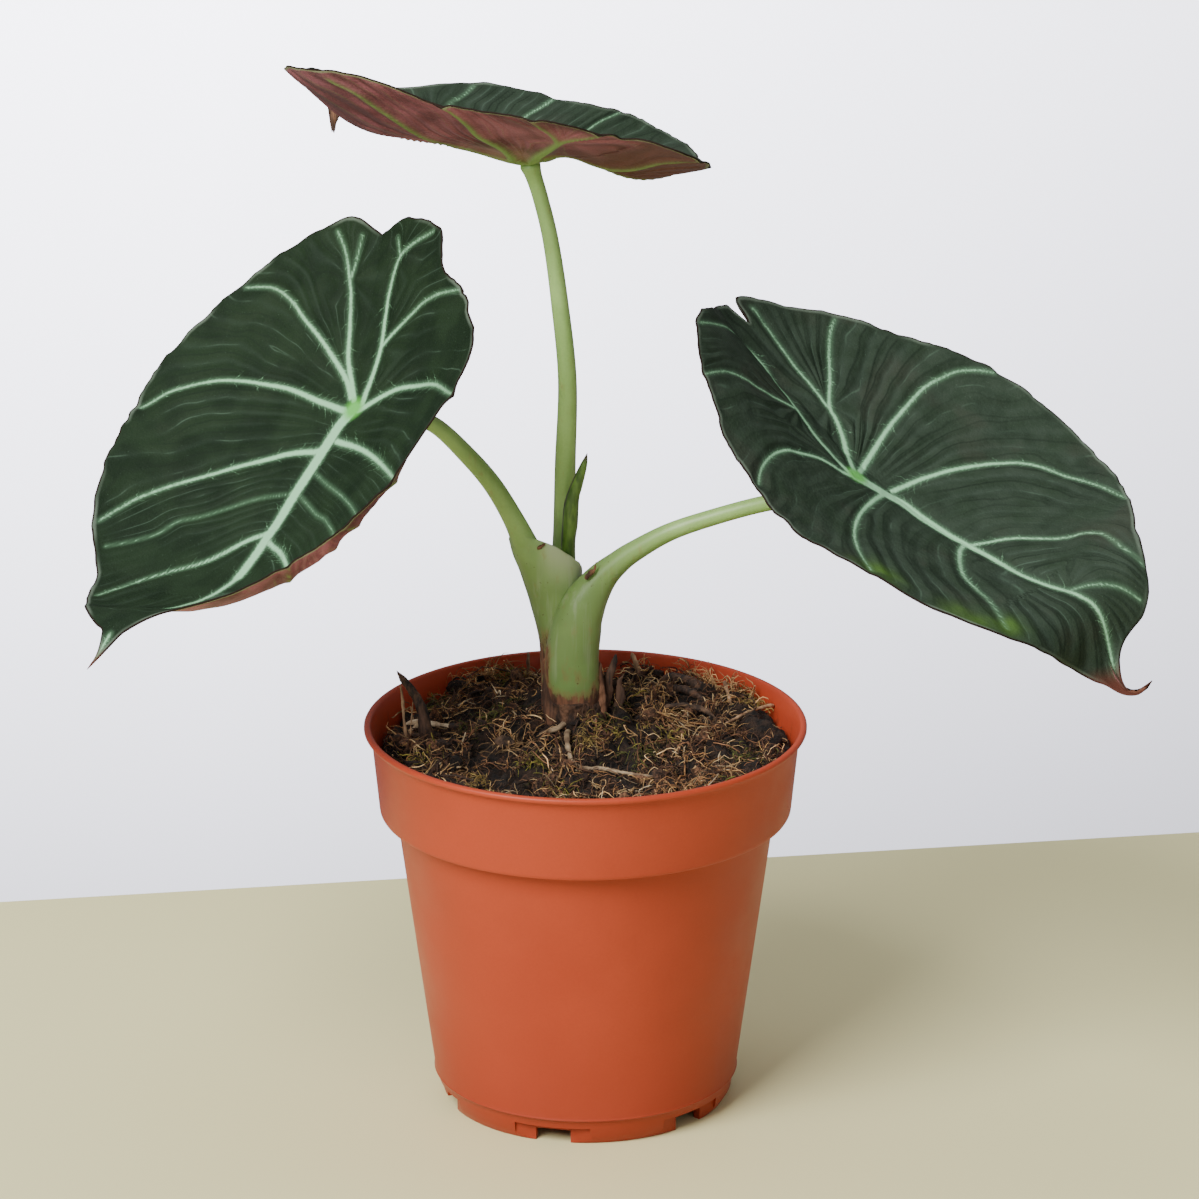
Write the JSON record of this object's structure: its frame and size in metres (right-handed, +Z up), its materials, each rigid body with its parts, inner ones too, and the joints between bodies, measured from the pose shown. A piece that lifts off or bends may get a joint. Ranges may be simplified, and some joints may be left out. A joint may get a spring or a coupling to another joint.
{
  "type": "potted alocasia",
  "caption": "Small aroid house plant with shield-shaped pale-veined leaves on tall stalks, growing in fibrous soil in a plain round nursery pot.",
  "frame": {"origin": "centre of the pot's underside, on the surface it stands on", "axes": "+Z up the pot's axis; -Y towards the side the picture shows"},
  "size_m": [0.2771, 0.1843, 0.2912],
  "materials": {
    "pot_plastic": "terracotta-coloured satin plastic",
    "soil": "moist dark peat and coir fibre",
    "rhizome": "rough brown rootstock",
    "petiole": "smooth pale green stalk",
    "blade_upper": "velvety very dark green with pale veins, dusty rose underneath",
    "young_leaf": "smooth rolled young leaf",
    "husk": "dry papery brown leaf base",
    "root": "pale tan root",
    "bark": "weathered bark"
  },
  "bodies": {
    "root": {"pot": "pot_plastic", "potting_soil": "soil", "rhizome": "rhizome", "petiole_left": "petiole", "petiole_right": "petiole", "petiole_top": "petiole", "blade_left": "blade_upper", "blade_right": "blade_upper", "blade_top": "blade_upper", "new_leaf": "young_leaf", "husk_left": "husk", "husk_right": "husk", "surface_root_short": "root", "surface_root_long": "root", "root_1": "root", "root_2": "root", "root_3": "root", "root_4": "root", "root_5": "root", "bark_splinter": "bark", "bark_chip": "bark", "bark_curl": "bark", "bark_shred": "bark"}
  },
  "joints": []
}
